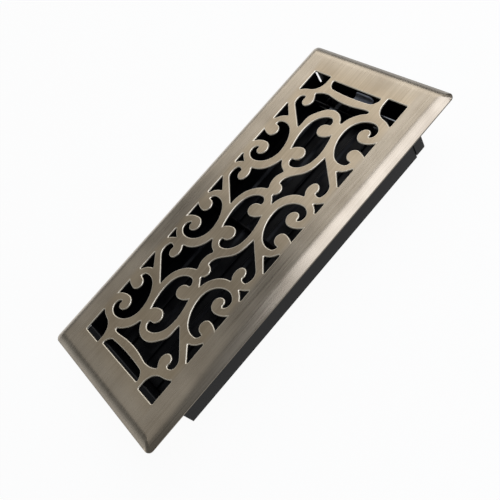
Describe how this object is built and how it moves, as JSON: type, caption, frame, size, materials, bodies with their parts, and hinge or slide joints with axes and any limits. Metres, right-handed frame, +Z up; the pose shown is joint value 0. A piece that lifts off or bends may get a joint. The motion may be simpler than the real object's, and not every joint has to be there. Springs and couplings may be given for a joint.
{
  "type": "floor register",
  "caption": "Rectangular floor register: a pierced scroll grille plate with a bevelled rim over a shallow damper box, with louvres worked by a thumb lever.",
  "frame": {"origin": "middle of the plate's rim at floor level, over the floor opening", "axes": "+X along the plate towards the thumb lever, +Z up out of the floor, +Y the way the lever slides to open the louvres"},
  "size_m": [0.2956, 0.1294, 0.0458],
  "materials": {
    "antique_brass_plate": "brushed antique plating",
    "black_painted_steel": "satin black paint",
    "zinc_plated_steel": "dull zinc plating"
  },
  "bodies": {
    "register": {"face_plate": "antique_brass_plate", "side_wall_left": "black_painted_steel", "side_wall_right": "black_painted_steel", "end_wall_lever": "black_painted_steel", "end_wall_plain": "black_painted_steel", "centre_brace": "black_painted_steel", "lever_bracket": "black_painted_steel"},
    "lever": {"link_bar": "zinc_plated_steel", "thumb_lever": "black_painted_steel", "guide_studs": "zinc_plated_steel"},
    "louvre_1": {"pivot_rod_1": "black_painted_steel", "louvre_near_1": "black_painted_steel", "louvre_far_1": "black_painted_steel"},
    "louvre_2": {"pivot_rod_2": "black_painted_steel", "louvre_near_2": "black_painted_steel", "louvre_far_2": "black_painted_steel"},
    "louvre_3": {"pivot_rod_3": "black_painted_steel", "louvre_near_3": "black_painted_steel", "louvre_far_3": "black_painted_steel"},
    "louvre_4": {"pivot_rod_4": "black_painted_steel", "louvre_near_4": "black_painted_steel", "louvre_far_4": "black_painted_steel"}
  },
  "joints": [
    {"name": "lever_slide", "type": "slide", "parent": "register", "child": "lever", "axis": [0, 1, 0], "range_m": [0, 0.0154]},
    {"name": "louvre_1_turn", "type": "hinge", "parent": "register", "child": "louvre_1", "pos_m": [0, -0.0321, -0.0165], "axis": [-1, 0, 0], "range_deg": [0, 80]},
    {"name": "louvre_2_turn", "type": "hinge", "parent": "register", "child": "louvre_2", "pos_m": [0, -0.0107, -0.0165], "axis": [-1, 0, 0], "range_deg": [0, 80]},
    {"name": "louvre_3_turn", "type": "hinge", "parent": "register", "child": "louvre_3", "pos_m": [0, 0.0107, -0.0165], "axis": [-1, 0, 0], "range_deg": [0, 80]},
    {"name": "louvre_4_turn", "type": "hinge", "parent": "register", "child": "louvre_4", "pos_m": [0, 0.0321, -0.0165], "axis": [-1, 0, 0], "range_deg": [0, 80]}
  ],
  "couplings": [
    {"joint": "louvre_1_turn", "follows": "lever_slide", "rad_per_m": 90.5},
    {"joint": "louvre_2_turn", "follows": "lever_slide", "rad_per_m": 90.5},
    {"joint": "louvre_3_turn", "follows": "lever_slide", "rad_per_m": 90.5},
    {"joint": "louvre_4_turn", "follows": "lever_slide", "rad_per_m": 90.5}
  ]
}
